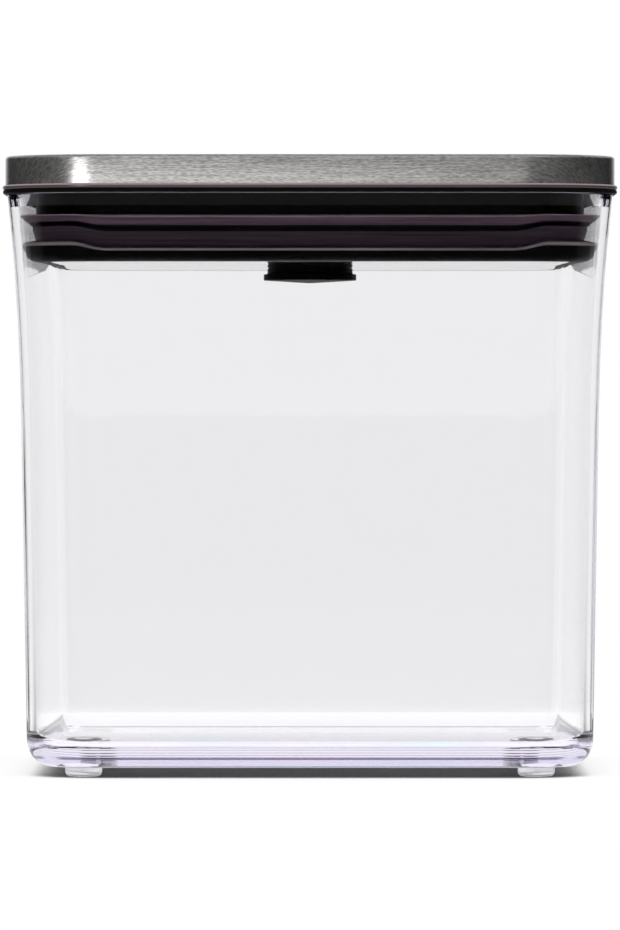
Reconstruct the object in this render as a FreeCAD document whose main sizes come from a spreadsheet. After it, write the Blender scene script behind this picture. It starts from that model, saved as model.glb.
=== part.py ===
"""A square push-button food keeper: a clear flared tub on four soft feet, and a brushed steel lid.

The lid's button latches down. Down, it holds a seal plate inside a finned gasket and spreads the
gasket against the tub. Pressed again, it rises to make a handle and the plate lets the gasket go.
The frame is +Z up, with the origin under the middle of the tub, on the surface it stands on.
Every rounded square in the part shares one set of corner centres, so its corners nest.
"""

import FreeCAD, Part
import math
import os
import re

import Sketcher

V = FreeCAD.Vector

# Driving dimensions, in millimetres unless the name ends in turns

SIZES = {
    # All pieces
    "cut_overrun": 1.0,
    "join_overlap": 0.8,
    "seat_gap": 0.05,
    # Tub
    "mouth_half": 78.8,
    "mouth_corner": 23.5,
    "flare_taper": 3.5,
    "base_taper": 5.2,
    "base_lift": 2.5,
    "flare_height": 97.0,
    "tub_height": 151.2,
    "tub_wall": 2.45,
    "base_round": 6.5,
    "base_recess": 2.7,
    "floor_thick": 2.7,
    "floor_round": 4.0,
    "ring_width": 8.0,
    "mouth_lead": 0.7,
    "lead_depth": 3.2,
    "mouth_round": 0.35,
    # Feet
    "foot_set": 14.8,
    "foot_radius": 4.8,
    "foot_round": 1.3,
    "foot_boss_margin": 2.2,
    "foot_plug_radius": 2.4,
    "foot_plug_length": 2.2,
    # Rim of the lid
    "rim_overhang": 1.2,
    "upper_rim": 1.15,
    "lower_rim": 1.15,
    "upper_rim_round": 0.5,
    "lower_rim_round": 0.5,
    "lower_rim_set": 0.1,
    # Steel cover
    "cover_set": 0.75,
    "cover_height": 7.5,
    "cover_sheet": 0.6,
    "cover_round": 0.9,
    "cover_fit": 0.15,
    "cover_stub": 4.0,
    "hole_radius": 27.5,
    "hole_flange": 2.4,
    "hole_bend": 0.9,
    # Top frame
    "frame_wall": 1.9,
    "frame_round": 0.7,
    "deck_thick": 2.0,
    "deck_stub": 6.0,
    "well_wall": 1.8,
    "boss_radius": 3.2,
    # Neck frame
    "skirt_gap": 6.05,
    "skirt_wall": 1.7,
    "skirt_depth": 11.6,
    "neck_step": 1.0,
    "ledge_width": 10.3,
    "ledge_thick": 1.9,
    "rib_depth": 0.8,
    "rib_height": 1.4,
    "rib_drop": 1.8,
    # Gasket
    "gasket_drop": 5.4,
    "fin_gap": 0.35,
    "upper_fin_tip": 0.3,
    "upper_fin_fall": 1.85,
    "fin_root": 2.2,
    "fin_groove": 0.9,
    "fin_groove_drop": 2.3,
    "waist_top": 1.9,
    "waist_drop": 2.9,
    "gasket_waist": 0.7,
    "lower_fin_rise": 0.75,
    "lower_fin_tip": 1.1,
    "lower_fin_edge": 0.4,
    "bowl_height": 3.9,
    "bowl_set": 1.2,
    "bowl_round": 3.4,
    # Seal plate
    "plug_depth": 17.6,
    "plate_gap": 0.4,
    "plate_thick": 2.2,
    "plate_rim_height": 5.6,
    "plate_rim_wall": 2.0,
    "plate_round": 1.0,
    "plate_stub": 6.0,
    "plate_rib_gap": 1.5,
    "plate_rib_wide": 1.6,
    "plate_rib_height": 2.4,
    # Travel of the button
    "button_rise": 9.0,
    "button_overtravel": 1.2,
    "travel_gap": 0.5,
    # Guide base
    "guide_thick": 2.2,
    "guide_margin": 0.8,
    "guide_tube_height": 4.6,
    "guide_tube_wall": 2.0,
    "stem_clearance": 0.2,
    "guide_screw_set": 2.15,
    "latch_block_wide": 5.0,
    "latch_block_gap": 4.6,
    "latch_block_deep": 4.5,
    "latch_block_over": 2.4,
    # Plunger and its steel cap
    "cap_gap": 0.5,
    "cap_skirt": 2.6,
    "cap_round": 1.0,
    "cap_fit": 0.1,
    "plunger_top_thick": 2.0,
    "cup_wall": 2.0,
    "waist_depth": 1.0,
    "waist_round": 6.0,
    "waist_end": 1.4,
    "stem_radius": 8.0,
    "stem_wall": 3.0,
    "stem_floor": 4.2,
    "stem_shoulder": 2.0,
    "spigot_fit": 0.1,
    "key_reach": 1.2,
    "key_wide": 2.0,
    "key_start": 2.2,
    "key_length": 13.0,
    "key_clearance": 0.2,
    # Latch
    "cam_wide": 6.0,
    "cam_set": 0.6,
    "cam_thick": 1.6,
    "cam_fit": 0.05,
    "cam_above": 3.2,
    "cam_below": 1.8,
    "track_depth": 1.1,
    "track_wide": 1.3,
    "track_half": 2.35,
    "heart_half": 1.0,
    "heart_lobe": 0.6,
    "heart_notch_gap": 0.15,
    "heart_shoulder": 1.6,
    "heart_foot": 2.4,
    "latch_height": 5.9,
    "latch_wire_radius": 0.4,
    "latch_tip_gap": 0.2,
    "latch_bend": 1.2,
    "latch_end_gap": 0.1,
    "latch_tail": 4.2,
    "latch_bore_gap": 0.08,
    # Return spring
    "spring_side_gap": 1.1,
    "spring_wire_radius": 0.6,
    "spring_turns": 5.0,
    "spring_end_gap": 0.1,
    # Dock under the seal plate
    "dock_flange_radius": 12.35,
    "dock_flange_step": 1.0,
    "dock_neck_height": 2.2,
    "dock_flange_height": 1.65,
    "dock_edge_round": 0.3,
    "dock_neck_round": 0.4,
    "dock_groove_drop": 0.35,
    "dock_groove_wide": 0.4,
    "dock_groove_depth": 0.25,
    "dock_dome": 0.75,
    "ring_set": 2.6,
    "ring_wire_radius": 0.7,
    "ring_groove_gap": 0.1,
    # Screws
    "screw_radius": 1.1,
    "screw_hole_gap": 0.3,
    "screw_pilot_gap": 0.05,
    "screw_bite": 5.0,
    "screw_head_radius": 2.5,
    "screw_head_height": 1.2,
    "screw_head_gap": 0.2,
    "screw_slot": 0.7,
    "screw_slot_depth": 0.6,
    "frame_screw_set": 4.5,
    "clamp_radius": 2.0,
    "clamp_gap": 0.08,
    "clamp_head_radius": 3.6,
    "clamp_head_height": 2.2,
    "clamp_bite": 2.6,
    "clamp_socket": 1.5,
    "clamp_socket_depth": 1.2,
}

# Heights, widths and arcs that follow from the driving dimensions

LEVELS = {
    # Tub
    "corner_centre": "mouth_half - mouth_corner",
    "flare_half": "mouth_half - flare_taper",
    "base_half": "mouth_half - base_taper",
    "floor_under": "base_lift + base_recess",
    "floor_top": "floor_under + floor_thick",
    "recess_half": "base_half - ring_width",
    "floor_stub_half": "recess_half - join_overlap",
    "wall_slope": "(flare_half - base_half) / (flare_height - base_lift)",
    "slope_length": "sqrt(1 + wall_slope ^ 2)",
    "flare_across": "mouth_half - flare_half",
    "flare_rise": "tub_height - flare_height",
    "flare_set": "(flare_across - wall_slope * flare_rise) / slope_length",
    "flare_arc": "(flare_across ^ 2 + flare_rise ^ 2) / (2 * flare_set)",
    "flare_centre_half": "flare_half + flare_arc / slope_length",
    "flare_centre_height": "flare_height - flare_arc * wall_slope / slope_length",
    "floor_corner_half": "base_half - tub_wall + wall_slope * (floor_top - base_lift)",
    "lead_height": "tub_height - lead_depth",
    "foot_place": "base_half - foot_set",
    # Lid, from the tub's edge up
    "rim_half": "mouth_half + rim_overhang",
    "rim_split": "tub_height + lower_rim",
    "rim_top": "rim_split + upper_rim",
    "lid_top": "rim_top + cover_height",
    "cover_half": "rim_half - cover_set",
    "deck_top": "lid_top - cover_sheet",
    "deck_under": "deck_top - deck_thick",
    "deck_hole": "hole_radius + hole_bend + cover_fit",
    "frame_half": "cover_half - cover_sheet - cover_fit",
    # Lid, from the tub's edge down
    "skirt_half": "mouth_half - tub_wall - skirt_gap",
    "skirt_inner_half": "skirt_half - skirt_wall",
    "neck_half": "skirt_half + neck_step",
    "ledge_half": "skirt_inner_half - ledge_width",
    "frame_screw_place": "ledge_half + frame_screw_set",
    "ledge_under": "rim_split - ledge_thick",
    "gasket_top": "tub_height - gasket_drop",
    "skirt_bottom": "tub_height - skirt_depth",
    "plug_bottom": "tub_height - plug_depth",
    "plate_half": "skirt_inner_half - plate_gap",
    "plate_top": "plug_bottom + plate_thick",
    # Guide base and plunger
    "guide_under": "plate_top + button_rise + travel_gap",
    "guide_top": "guide_under + guide_thick",
    "guide_bore": "stem_radius + stem_clearance",
    "guide_tube_radius": "guide_bore + guide_tube_wall",
    "well_outer": "deck_hole + well_wall",
    "guide_screw_radius": "well_outer + guide_screw_set",
    "guide_radius": "guide_screw_radius + boss_radius + guide_margin",
    "screw_pilot": "screw_radius + screw_pilot_gap",
    "screw_hole": "screw_radius + screw_hole_gap",
    "plunger_top": "lid_top - cover_sheet",
    "plunger_under": "plunger_top - plunger_top_thick",
    "cap_radius": "hole_radius - cap_gap",
    "cup_radius": "cap_radius - cover_sheet - cap_fit",
    "cup_bore": "cup_radius - cup_wall",
    "cup_bottom": "guide_top + button_overtravel + travel_gap",
    "cup_grip_top": "lid_top - cap_skirt",
    "stem_bore": "stem_radius - stem_wall",
    "stem_floor_top": "plate_top + stem_floor",
    "spigot_radius": "stem_radius - stem_shoulder",
    "spring_radius": "cup_bore - spring_side_gap - spring_wire_radius",
    # Latch
    "latch_block_start": "guide_tube_radius + latch_block_gap",
    "latch_block_end": "latch_block_start + latch_block_deep",
    "latch_level": "guide_top + latch_height",
    "cam_face": "stem_radius - cam_set",
    "cam_back": "cam_face - cam_thick",
    "cam_top": "latch_level + cam_above",
    "cam_bottom": "latch_level - button_rise - cam_below",
    "track_floor": "cam_face - track_depth",
    # Dock
    "dock_neck_radius": "dock_flange_radius - dock_flange_step",
    "dock_flange_top": "plug_bottom - dock_neck_height",
    "dock_bottom": "dock_flange_top - dock_flange_height",
    "ring_mean_radius": "spigot_radius + ring_set",
    "ring_groove_half": "ring_wire_radius + ring_groove_gap",
}

PATTERN = re.compile(r"[a-z_]+[a-z0-9_]*")
HOLDERS = {**{name: "sizes." for name in SIZES}, **{name: "levels." for name in LEVELS}}

doc = FreeCAD.newDocument("push_button_keeper")
sheet = doc.addObject("Spreadsheet::Sheet", "sizes")
levels = doc.addObject("App::VarSet", "levels")


def bound(formula):
    """The formula with every size and level named by the cell or property that holds it."""
    return PATTERN.sub(lambda word: HOLDERS.get(word[0], "") + word[0], formula)


def value(formula):
    """The number that a formula of sizes and levels gives now."""
    return float(sheet.evalExpression(bound(formula)))


def fill_sizes():
    """Puts the driving dimensions in the sheet and ties the levels to them."""
    for row, (name, size) in enumerate(SIZES.items(), start=1):
        sheet.set(f"A{row}", name)
        sheet.set(f"B{row}", repr(size))
        sheet.setAlias(f"B{row}", name)
    doc.recompute()
    for name, formula in LEVELS.items():
        levels.addProperty("App::PropertyFloat", name)
        levels.setExpression(name, bound(formula))
        doc.recompute()


def wall_at(height):
    """Formula of the tub's outer half width at a height on its flare."""
    return f"flare_centre_half - sqrt(flare_arc ^ 2 - ({height} - flare_centre_height) ^ 2)"


# Drawing


def new_body(name):
    """An empty body whose label names its file."""
    body = doc.addObject("PartDesign::Body", name)
    body.Label = name
    body.AllowCompound = True
    return body


def sketch_in(body, name, plane, lift=None):
    """A sketch on one of the body's own planes, moved along that plane's normal by a formula."""
    sketch = body.newObject("Sketcher::SketchObject", f"{body.Name}_{name}")
    support = [piece for piece in body.Origin.OriginFeatures if piece.Role == plane][0]
    sketch.AttachmentSupport = [(support, "")]
    sketch.MapMode = "FlatFace"
    if lift:
        sketch.setExpression("AttachmentOffset.Base.z", bound(lift))
    return sketch


def tie(sketch, kind, formula, *places):
    """A dimension of a sketch that follows a formula."""
    index = sketch.addConstraint(Sketcher.Constraint(kind, *places, value(formula)))
    sketch.setExpression(f"Constraints[{index}]", bound(formula))


def pin_point(sketch, piece, end, across, up):
    """Holds a point of a sketch at two formulas, on an axis where a formula is 0."""
    for kind, axis, formula in (("DistanceX", -2, across), ("DistanceY", -1, up)):
        if formula == "0":
            sketch.addConstraint(Sketcher.Constraint("PointOnObject", piece, end, axis))
        else:
            tie(sketch, kind, formula, -1, 1, piece, end)


def arc_through(start, middle, end):
    """An arc over three points, and the numbers of its ends in that order."""
    found = Part.Arc(start, middle, end).toShape().Curve
    spokes = [point - found.Center for point in (start, middle, end)]
    angles = [math.atan2(spoke.y, spoke.x) for spoke in spokes]
    forward = (angles[1] - angles[0]) % math.tau < (angles[2] - angles[0]) % math.tau
    first, last = (angles[0], angles[2]) if forward else (angles[2], angles[0])
    circle = Part.Circle(found.Center, V(0, 0, 1), found.Radius)
    curve = Part.ArcOfCircle(circle, first, first + (last - first) % math.tau)
    return curve, (1, 2) if forward else (2, 1)


def outline(sketch, corners, arcs=()):
    """Draws a closed outline in a sketch.

    A corner is (across, up) or (across, up, rounding), as formulas. arcs names the edges, by the
    number of their first corner, that are arcs tangent to the straight edge "before" or "after".
    """
    arcs = dict(arcs)
    count = len(corners)
    points = [V(value(corner[0]), value(corner[1]), 0) for corner in corners]
    leaves, arrives = list(points), list(points)
    for i, corner in enumerate(corners):
        if len(corner) == 3:
            back = (points[i - 1] - points[i]).normalize()
            ahead = (points[(i + 1) % count] - points[i]).normalize()
            reach = value(corner[2]) / math.tan(back.getAngle(ahead) / 2)
            arrives[i], leaves[i] = points[i] + back * reach, points[i] + ahead * reach
    edges, ends = [], []
    for i in range(count):
        start, end = leaves[i], arrives[(i + 1) % count]
        curve, order = Part.LineSegment(start, end), (1, 2)
        if i in arcs:
            curve, order = arc_through(start, flare_middle(points, i, arcs[i]), end)
        edges.append(sketch.addGeometry(curve, False))
        ends.append(order)
    for i, corner in enumerate(corners):
        before, after = (edges[i - 1], ends[i - 1][1]), (edges[i], ends[i][0])
        if len(corner) == 3:
            round_corner(sketch, points[i], arrives[i], leaves[i], before, after, corner)
            continue
        smooth = arcs.get(i) == "before" or arcs.get((i - 1) % count) == "after"
        kind = "Tangent" if smooth else "Coincident"
        sketch.addConstraint(Sketcher.Constraint(kind, *before, *after))
        pin_point(sketch, *after, corner[0], corner[1])


def flare_middle(points, i, side):
    """Middle of the arc that leaves or meets its straight neighbour without a corner."""
    count = len(points)
    start, end = points[i], points[(i + 1) % count]
    chord = end - start
    run = start - points[i - 1] if side == "before" else points[(i + 2) % count] - end
    turn = math.atan2(run.x * chord.y - run.y * chord.x, run.dot(chord))
    bulge = math.tan(turn / 2) / 2 * (1 if side == "before" else -1)
    return (start + end) * 0.5 + V(chord.y, -chord.x, 0) * bulge


def round_corner(sketch, corner_point, arrive, leave, before, after, corner):
    """Joins two edges with a tangent arc and holds the corner that it replaces."""
    back, ahead = arrive - corner_point, leave - corner_point
    middle = (back + ahead).normalize()
    half = back.getAngle(ahead) / 2
    radius = back.Length * math.tan(half)
    crest = corner_point + middle * (radius / math.sin(half) - radius)
    curve, order = arc_through(arrive, crest, leave)
    piece = sketch.addGeometry(curve, False)
    sketch.addConstraint(Sketcher.Constraint("Tangent", *before, piece, order[0]))
    sketch.addConstraint(Sketcher.Constraint("Tangent", piece, order[1], *after))
    tie(sketch, "Radius", corner[2], piece)
    point = sketch.addGeometry(Part.Point(corner_point), True)
    sketch.addConstraint(Sketcher.Constraint("PointOnObject", point, 1, before[0]))
    sketch.addConstraint(Sketcher.Constraint("PointOnObject", point, 1, after[0]))
    pin_point(sketch, point, 1, corner[0], corner[1])


def rounded_square(sketch, half, centre="corner_centre", split=False):
    """Draws a rounded square about the origin, with a vertex on +X where it is to be split."""
    reach, place = value(half), value(centre)
    radius = reach - place
    pieces = []
    for turn in range(4):
        spin = FreeCAD.Rotation(V(0, 0, 1), 90 * turn)
        ends = [spin.multVec(V(reach, side * place, 0)) for side in (-1, 1)]
        if split and turn == 0:
            cut = V(reach, 0, 0)
            pieces.append(sketch.addGeometry(Part.LineSegment(cut, ends[1]), False))
        else:
            pieces.append(sketch.addGeometry(Part.LineSegment(*ends), False))
        circle = Part.Circle(spin.multVec(V(place, place, 0)), V(0, 0, 1), radius)
        start = math.pi / 2 * turn
        pieces.append(sketch.addGeometry(Part.ArcOfCircle(circle, start, start + math.pi / 2), False))
    if split:
        pieces.append(sketch.addGeometry(Part.LineSegment(V(reach, -place, 0), cut), False))
        sketch.addConstraint(Sketcher.Constraint("Vertical", pieces[-1]))
        sketch.addConstraint(Sketcher.Constraint("Coincident", pieces[-1], 2, pieces[0], 1))
        sketch.addConstraint(Sketcher.Constraint("PointOnObject", pieces[0], 1, -1))
    joins = len(pieces) - 1 if split else len(pieces)
    for i in range(joins):
        following = pieces[(i + 1) % len(pieces)]
        sketch.addConstraint(Sketcher.Constraint("Tangent", pieces[i], 2, following, 1))
    for line, direction in zip(pieces[0:8:2], ("Vertical", "Horizontal", "Vertical", "Horizontal")):
        sketch.addConstraint(Sketcher.Constraint(direction, line))
    arcs = pieces[1:8:2]
    for other in arcs[1:]:
        sketch.addConstraint(Sketcher.Constraint("Equal", arcs[0], other))
    tie(sketch, "Radius", f"{half} - {centre}", arcs[0])
    pin_point(sketch, arcs[0], 3, centre, centre)
    sketch.addConstraint(Sketcher.Constraint("Symmetric", arcs[0], 3, arcs[2], 3, -1, 1))


def circle_in(sketch, radius, across="0", up="0"):
    """Draws a circle in a sketch."""
    middle = V(value(across), value(up), 0)
    piece = sketch.addGeometry(Part.Circle(middle, V(0, 0, 1), value(radius)), False)
    tie(sketch, "Radius", radius, piece)
    pin_point(sketch, piece, 3, across, up)


# Features


def finish_feature(body, feature, sketch):
    """Gives a feature its sketch and makes it the body's tip."""
    feature.Profile = sketch
    body.Tip = feature
    doc.recompute()
    return feature


def swept_ring(body, name, half, corners, arcs=()):
    """A wall of the given section that runs round a rounded square."""
    spine = sketch_in(body, f"{name}_path", "XY_Plane")
    rounded_square(spine, half, split=True)
    section = sketch_in(body, f"{name}_section", "XZ_Plane")
    outline(section, corners, arcs)
    doc.recompute()
    ring = body.newObject("PartDesign::AdditivePipe", f"{body.Name}_{name}")
    ring.Spine = (spine, [])
    return finish_feature(body, ring, section)


def padded(body, name, sketch, length):
    """Raises a sketch along its normal by a formula."""
    pad = body.newObject("PartDesign::Pad", f"{body.Name}_{name}")
    pad.Profile = sketch
    pad.setExpression("Length", bound(length))
    return finish_feature(body, pad, sketch)


def pocketed(body, name, sketch, depth, upward):
    """Cuts a sketch along its normal, or against it, by a formula, and checks that it cut."""
    before = body.Shape.Volume
    pocket = body.newObject("PartDesign::Pocket", f"{body.Name}_{name}")
    pocket.Profile = sketch
    pocket.Reversed = upward
    pocket.setExpression("Length", bound(depth))
    finish_feature(body, pocket, sketch)
    if body.Shape.Volume >= before:
        raise RuntimeError(f"{pocket.Name} cuts nothing")
    return pocket


def turned(body, name, corners, arcs=()):
    """A full turn of an outline about the body's Z axis."""
    section = sketch_in(body, f"{name}_section", "XZ_Plane")
    outline(section, corners, arcs)
    doc.recompute()
    turn = body.newObject("PartDesign::Revolution", f"{body.Name}_{name}")
    turn.Profile = section
    turn.ReferenceAxis = (section, ["V_Axis"])
    turn.Angle = 360
    return finish_feature(body, turn, section)


def repeated(body, name, features, count):
    """Copies features evenly about the body's Z axis."""
    pattern = body.newObject("PartDesign::PolarPattern", f"{body.Name}_{name}")
    pattern.Originals = features
    pattern.Axis = (sketch_axis(body), [""])
    pattern.Angle = 360
    pattern.Occurrences = count
    body.Tip = pattern
    doc.recompute()
    return pattern


def sketch_axis(body):
    """The body's own Z axis."""
    return [piece for piece in body.Origin.OriginFeatures if piece.Role == "Z_Axis"][0]


def plate(body, name, low, height, half, hole=None):
    """A rounded square plate, with a round hole in its middle where one is named."""
    sketch = sketch_in(body, f"{name}_plan", "XY_Plane", low)
    rounded_square(sketch, half)
    if hole:
        circle_in(sketch, hole)
    return padded(body, name, sketch, height)


def post(body, name, low, height, radius, across="0", up="0", bore=None):
    """A round post, or a tube where a bore is named."""
    sketch = sketch_in(body, f"{name}_plan", "XY_Plane", low)
    circle_in(sketch, radius, across, up)
    if bore:
        circle_in(sketch, bore, across, up)
    return padded(body, name, sketch, height)


def drilled(body, name, low, depth, radius, across="0", up="0"):
    """A round hole that is cut upward from a height."""
    sketch = sketch_in(body, f"{name}_plan", "XY_Plane", low)
    circle_in(sketch, radius, across, up)
    return pocketed(body, name, sketch, depth, upward=True)


def box_sketch(body, name, plane, lift, left, right, low, high):
    """A rectangle between four formulas on one of the body's planes."""
    sketch = sketch_in(body, name, plane, lift)
    outline(sketch, [(left, low), (right, low), (right, high), (left, high)])
    return sketch


# Tub and feet


def make_tub():
    """Clear tub: a flared wall with a rounded base ring, a floor, and a boss over each foot."""
    body = new_body("tub")
    inner_lead = f"{wall_at('lead_height')} - tub_wall"
    swept_ring(
        body,
        "wall",
        "mouth_half",
        [
            ("recess_half", "base_lift"),
            ("base_half", "base_lift", "base_round"),
            ("flare_half", "flare_height"),
            ("mouth_half", "tub_height", "mouth_round"),
            ("mouth_half - tub_wall + mouth_lead", "tub_height"),
            (inner_lead, "lead_height"),
            ("flare_half - tub_wall", "flare_height"),
            ("floor_corner_half", "floor_top", "floor_round"),
            ("floor_stub_half", "floor_top"),
            ("floor_stub_half", "floor_under"),
            ("recess_half", "floor_under"),
        ],
        arcs={2: "before", 5: "after"},
    )
    plate(body, "floor", "floor_under", "floor_thick", "floor_stub_half + join_overlap")
    place = "foot_place"
    boss = post(
        body,
        "boss",
        "base_lift",
        "base_recess + join_overlap",
        "foot_radius + foot_boss_margin",
        place,
        place,
    )
    repeated(body, "bosses", [boss], 4)
    socket = drilled(
        body,
        "socket",
        "base_lift",
        "foot_plug_length + seat_gap",
        "foot_plug_radius + seat_gap",
        place,
        place,
    )
    repeated(body, "sockets", [socket], 4)
    return [body]


def make_feet():
    """Four soft feet, each with a plug that is pressed into the base."""
    corners = {
        "foot_front_left": (-1, -1),
        "foot_front_right": (1, -1),
        "foot_rear_left": (-1, 1),
        "foot_rear_right": (1, 1),
    }
    feet = []
    for name, (across, along) in corners.items():
        body = new_body(name)
        turned(
            body,
            "turn",
            [
                ("0", "0"),
                ("foot_radius", "0", "foot_round"),
                ("foot_radius", "base_lift"),
                ("foot_plug_radius", "base_lift"),
                ("foot_plug_radius", "base_lift + foot_plug_length"),
                ("0", "base_lift + foot_plug_length"),
            ],
        )
        body.setExpression("Placement.Base.x", bound(f"{across} * foot_place"))
        body.setExpression("Placement.Base.y", bound(f"{along} * foot_place"))
        feet.append(body)
    return feet


# Lid shell


def make_steel_cover():
    """Pressed steel cover: a rolled edge, a flat top and a downturned flange round the button."""
    body = new_body("steel_cover")
    inner = "cover_half - cover_sheet"
    stub = "cover_half - cover_round - cover_stub"
    swept_ring(
        body,
        "edge",
        "cover_half",
        [
            (inner, "rim_top"),
            ("cover_half", "rim_top"),
            ("cover_half", "lid_top", "cover_round"),
            (stub, "lid_top"),
            (stub, "deck_top"),
            (inner, "deck_top", "cover_round - cover_sheet"),
        ],
    )
    bend = "hole_radius + hole_bend + cover_sheet"
    plate(body, "top", "deck_top", "cover_sheet", f"{stub} + join_overlap", bend)
    turned(
        body,
        "flange",
        [
            ("hole_radius", "lid_top - hole_flange"),
            ("hole_radius + cover_sheet", "lid_top - hole_flange"),
            ("hole_radius + cover_sheet", "deck_top", "hole_bend - cover_sheet"),
            (f"{bend} + join_overlap", "deck_top"),
            (f"{bend} + join_overlap", "lid_top"),
            ("hole_radius", "lid_top", "hole_bend"),
        ],
    )
    return [body]


def make_top_frame():
    """Upper frame: the rim's upper bead, a wall and deck under the cover, the well and bosses."""
    body = new_body("top_frame")
    inner = "frame_half - frame_wall"
    stub = "frame_half - deck_stub"
    swept_ring(
        body,
        "edge",
        "rim_half",
        [
            (inner, "rim_split"),
            ("rim_half", "rim_split", "upper_rim_round"),
            ("rim_half", "rim_top", "upper_rim_round"),
            ("frame_half", "rim_top"),
            ("frame_half", "deck_top", "frame_round"),
            (stub, "deck_top"),
            (stub, "deck_under"),
            (inner, "deck_under"),
        ],
    )
    plate(body, "deck", "deck_under", "deck_thick", f"{stub} + join_overlap", "deck_hole")
    drop = "deck_under - guide_top"
    post(body, "well", "guide_top", drop, "well_outer", bore="hole_radius")
    corner = "guide_screw_radius * sqrt(0.5)"
    guide_boss = post(
        body, "guide_boss", "guide_top", f"{drop} + join_overlap", "boss_radius", corner, corner
    )
    repeated(body, "guide_bosses", [guide_boss], 4)
    frame_boss = post(
        body,
        "frame_boss",
        "rim_split",
        "deck_under - rim_split + join_overlap",
        "boss_radius",
        "frame_screw_place",
    )
    repeated(body, "frame_bosses", [frame_boss], 4)
    guide_pilot = drilled(
        body, "guide_pilot", "guide_top", "screw_bite + seat_gap", "screw_pilot", corner, corner
    )
    repeated(body, "guide_pilots", [guide_pilot], 4)
    frame_pilot = drilled(
        body, "frame_pilot", "rim_split", "screw_bite + seat_gap", "screw_pilot", "frame_screw_place"
    )
    repeated(body, "frame_pilots", [frame_pilot], 4)
    return [body]


def make_neck_frame():
    """Lower frame: the rim's lower bead, a screw ledge, and the neck and skirt that hold the gasket."""
    body = new_body("neck_frame")
    rib_top = "gasket_top - rib_drop"
    lower_half = "rim_half - lower_rim_set"
    swept_ring(
        body,
        "edge",
        "rim_half",
        [
            ("skirt_inner_half", "skirt_bottom"),
            ("skirt_half", "skirt_bottom"),
            ("skirt_half", f"{rib_top} - rib_height"),
            ("skirt_half - rib_depth", f"{rib_top} - rib_height"),
            ("skirt_half - rib_depth", rib_top),
            ("skirt_half", rib_top),
            ("skirt_half", "gasket_top"),
            ("neck_half", "gasket_top"),
            ("neck_half", "tub_height"),
            (lower_half, "tub_height", "lower_rim_round"),
            (lower_half, "rim_split", "lower_rim_round"),
            ("ledge_half", "rim_split"),
            ("ledge_half", "ledge_under"),
            ("skirt_inner_half", "ledge_under"),
        ],
    )
    low = "ledge_under - cut_overrun"
    depth = "ledge_thick + cut_overrun + cut_overrun"
    hole = drilled(body, "screw_hole", low, depth, "screw_hole", "frame_screw_place")
    repeated(body, "screw_holes", [hole], 4)
    return [body]


def make_gasket():
    """Finned gasket, in its sealed shape: a rib in the skirt, an upper fin, and a lip under it."""
    body = new_body("gasket")
    seat = "skirt_half + seat_gap"
    top = "gasket_top - seat_gap"
    rib_top = "gasket_top - rib_drop - seat_gap"
    rib_low = "gasket_top - rib_drop - rib_height + seat_gap"
    rib = "skirt_half - rib_depth + seat_gap"
    bowl_top = "plug_bottom + bowl_height"
    lower_tip = f"{wall_at(bowl_top)} - tub_wall - fin_gap"
    upper_tip = f"{wall_at('gasket_top - upper_fin_tip')} - tub_wall - fin_gap"
    lip = "plate_half + fin_gap"
    swept_ring(
        body,
        "fins",
        "skirt_half",
        [
            (lip, "plug_bottom"),
            (f"{lower_tip} - bowl_set", "plug_bottom", "bowl_round"),
            (lower_tip, bowl_top),
            (lower_tip, f"{bowl_top} + lower_fin_tip", "lower_fin_edge"),
            ("skirt_half + gasket_waist", f"{bowl_top} + lower_fin_tip + lower_fin_rise"),
            ("skirt_half + waist_top", f"{top} - waist_drop"),
            ("skirt_half + fin_groove", f"{top} - fin_groove_drop"),
            ("skirt_half + fin_root", f"{top} - upper_fin_fall"),
            (upper_tip, f"{top} - upper_fin_tip"),
            (upper_tip, top),
            (seat, top),
            (seat, rib_top),
            (rib, rib_top),
            (rib, rib_low),
            (seat, rib_low),
            (seat, "skirt_bottom - seat_gap"),
            (lip, "skirt_bottom - seat_gap"),
        ],
    )
    return [body]


# Button and what it carries


def make_button_cap():
    """Steel cap of the button, flush with the cover when the button is down."""
    body = new_body("button_cap")
    inner = "cap_radius - cover_sheet"
    turned(
        body,
        "turn",
        [
            ("0", "plunger_top"),
            (inner, "plunger_top", "cap_round - cover_sheet"),
            (inner, "cup_grip_top"),
            ("cap_radius", "cup_grip_top"),
            ("cap_radius", "lid_top", "cap_round"),
            ("0", "lid_top"),
        ],
    )
    return [body]


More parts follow.
